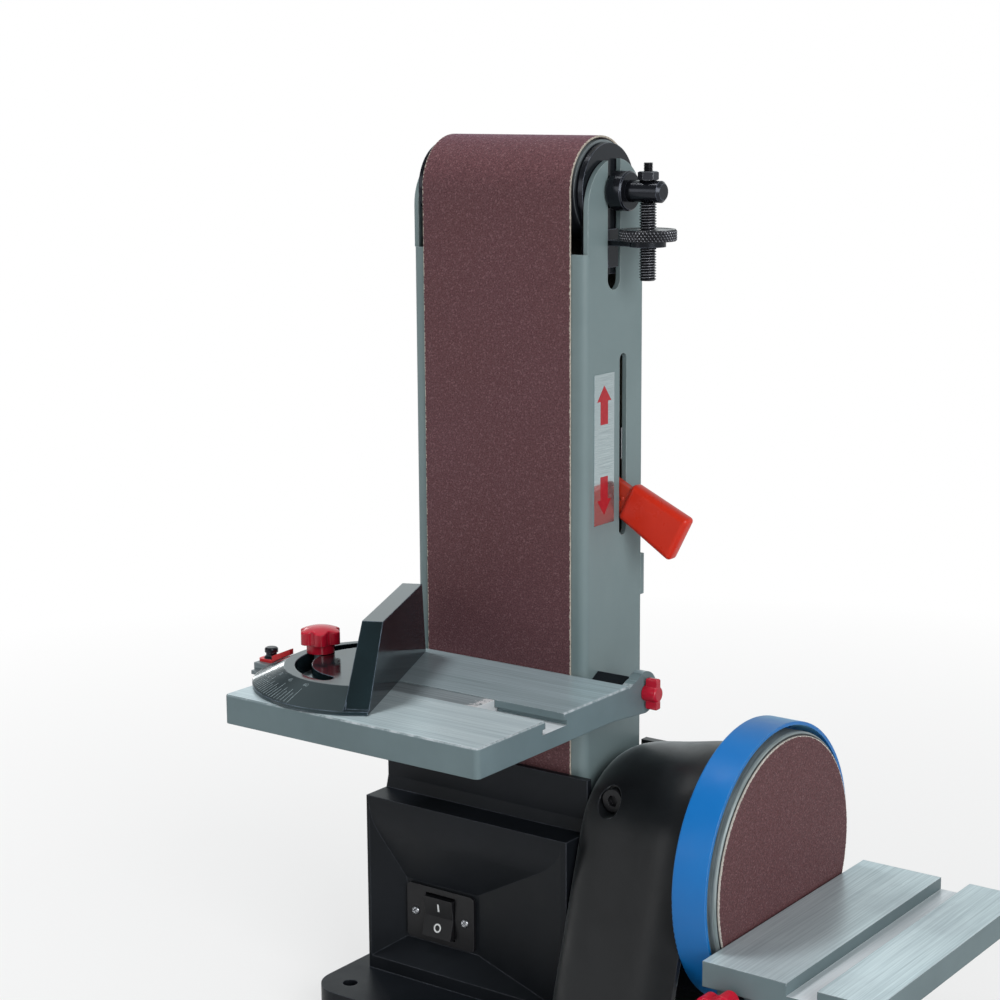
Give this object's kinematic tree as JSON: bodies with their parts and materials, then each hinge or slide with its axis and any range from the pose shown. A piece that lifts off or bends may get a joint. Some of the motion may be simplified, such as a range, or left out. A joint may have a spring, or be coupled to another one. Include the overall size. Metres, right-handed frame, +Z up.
{
  "type": "bench belt and disc sander",
  "caption": "Bench sander with an upright abrasive belt on a tilting arm, a tilting work table with a mitre gauge, and a guarded sanding disc on the same motor shaft.",
  "frame": {"origin": "centre of the bench-bolt pattern, on the bench under the rubber feet", "axes": "+X along the motor shaft towards the disc, -Y the way the belt faces, +Z up"},
  "size_m": [0.3907, 0.276, 0.5219],
  "materials": {
    "black_casting": "satin",
    "arm_paint": "satin",
    "black_oxide": "satin",
    "steel": "satin",
    "lamination": "matte",
    "winding": "satin",
    "cast_aluminium": "satin",
    "table_aluminium": "brushed",
    "abrasive_cloth": "matte",
    "abrasive_paper": "matte",
    "guard_blue": "gloss",
    "knob_red": "gloss",
    "pointer_red": "gloss",
    "lever_orange": "satin",
    "grip_orange": "gloss",
    "mitre_black": "gloss",
    "label_silver": "brushed",
    "foot_rubber": "matte",
    "switch_black": "matte"
  },
  "bodies": {
    "base": {"base_casting": "black_casting", "base_plate": "steel", "rubber_feet": "foot_rubber", "cord_gland": "switch_black", "switch_plate": "switch_black", "switch_body": "switch_black", "motor_housing": "black_casting", "housing_screw": "black_oxide", "pivot_end_bell": "cast_aluminium", "motor_shell": "steel", "stator_core": "lamination", "stator_windings": "winding", "disc_end_bell": "cast_aluminium", "motor_bearings": "steel", "disc_guard": "guard_blue", "guard_screws": "steel", "disc_trunnions": "black_casting", "disc_pivot_bolts": "steel"},
    "rocker": {"switch_rocker": "switch_black"},
    "spindle": {"motor_shaft": "steel", "rotor_core": "lamination", "drive_drum": "cast_aluminium", "disc_plate": "cast_aluminium", "abrasive_disc": "abrasive_paper"},
    "arm": {"arm_frame": "arm_paint", "rear_guard": "arm_paint", "sanding_belt": "abrasive_cloth", "tension_label": "label_silver", "lever_pivot_pin": "steel", "spring_crossbar": "steel", "tension_spring": "steel", "table_spacers": "black_oxide", "table_pivot_bolt": "steel"},
    "lever": {"tension_lever": "lever_orange", "lever_grip": "grip_orange"},
    "yoke": {"tension_yoke": "black_oxide", "tracking_bracket": "black_oxide"},
    "tracking_shaft": {"idler_shaft": "black_oxide", "shaft_collar": "black_oxide", "collar_screw": "black_oxide", "tracking_stud": "black_oxide", "stud_nut": "black_oxide"},
    "tracking_wheel": {"tracking_wheel": "black_oxide"},
    "idler": {"idler_drum": "cast_aluminium", "idler_bearings": "steel"},
    "belt_table": {"belt_table": "table_aluminium"},
    "table_knob": {"table_knob": "knob_red"},
    "mitre_bar": {"mitre_bar": "table_aluminium", "mitre_pointer": "pointer_red", "pointer_screw": "black_oxide"},
    "mitre_head": {"mitre_head": "mitre_black"},
    "mitre_knob": {"mitre_knob": "knob_red"},
    "disc_table": {"disc_table": "table_aluminium"},
    "disc_knob_front": {"disc_knob_front": "knob_red"},
    "disc_knob_rear": {"disc_knob_rear": "knob_red"}
  },
  "joints": [
    {"name": "spindle_spin", "type": "hinge", "parent": "base", "child": "spindle", "pos_m": [-0.0435, 0, 0.1266], "axis": [1, 0, 0], "continuous": true},
    {"name": "switch_rocker", "type": "hinge", "parent": "base", "child": "rocker", "pos_m": [-0.077, -0.0396, 0.0625], "axis": [1, 0, 0], "range_deg": [0, 9.5]},
    {"name": "arm_tilt", "type": "hinge", "parent": "base", "child": "arm", "pos_m": [-0.0435, 0, 0.1266], "axis": [-1, 0, 0], "range_deg": [0, 90]},
    {"name": "tension_lever", "type": "hinge", "parent": "arm", "child": "lever", "pos_m": [-0.0395, 0.0097, 0.34938], "axis": [0, -1, 0], "range_deg": [0, 54]},
    {"name": "yoke_slide", "type": "slide", "parent": "arm", "child": "yoke", "axis": [0, 0, 1], "range_m": [-0.0082, 0], "deforming": ["tension_spring"]},
    {"name": "tracking_wheel", "type": "hinge", "parent": "yoke", "child": "tracking_wheel", "pos_m": [0.0385, 0, 0.46838], "axis": [0, 0, 1], "range_deg": [-286, 859]},
    {"name": "tracking_tilt", "type": "hinge", "parent": "yoke", "child": "tracking_shaft", "pos_m": [-0.09825, 0, 0.49208], "axis": [0, -1, 0], "range_deg": [-1.5, 0.5]},
    {"name": "idler_spin", "type": "hinge", "parent": "tracking_shaft", "child": "idler", "pos_m": [-0.0435, 0, 0.49208], "axis": [1, 0, 0], "continuous": true},
    {"name": "table_tilt", "type": "hinge", "parent": "arm", "child": "belt_table", "pos_m": [-0.0435, -0.0151, 0.2152], "axis": [1, 0, 0], "range_deg": [0, 45]},
    {"name": "table_knob", "type": "hinge", "parent": "arm", "child": "table_knob", "pos_m": [0.0535, -0.0151, 0.2152], "axis": [1, 0, 0], "range_deg": [0, 360]},
    {"name": "mitre_slide", "type": "slide", "parent": "belt_table", "child": "mitre_bar", "axis": [1, 0, 0], "range_m": [-0.04, 0.07]},
    {"name": "mitre_swivel", "type": "hinge", "parent": "mitre_bar", "child": "mitre_head", "pos_m": [-0.074, -0.1035, 0.2224], "axis": [0, 0, 1], "range_deg": [-80, 30]},
    {"name": "mitre_knob", "type": "hinge", "parent": "mitre_bar", "child": "mitre_knob", "pos_m": [-0.114, -0.1035, 0.2404], "axis": [0, 0, 1], "range_deg": [0, 360]},
    {"name": "disc_table_tilt", "type": "hinge", "parent": "base", "child": "disc_table", "pos_m": [0.1485, 0, 0.0776], "axis": [0, 1, 0], "range_deg": [0, 45]},
    {"name": "disc_knob_front", "type": "hinge", "parent": "base", "child": "disc_knob_front", "pos_m": [0.1485, -0.097, 0.0776], "axis": [0, -1, 0], "range_deg": [0, 360]},
    {"name": "disc_knob_rear", "type": "hinge", "parent": "base", "child": "disc_knob_rear", "pos_m": [0.1485, 0.097, 0.0776], "axis": [0, 1, 0], "range_deg": [0, 360]}
  ],
  "couplings": [
    {"joint": "idler_spin", "follows": "spindle_spin", "ratio": 1},
    {"joint": "yoke_slide", "follows": "tension_lever", "m_per_rad": -0.008674},
    {"joint": "tracking_tilt", "follows": "tracking_wheel", "ratio": -0.001746}
  ]
}
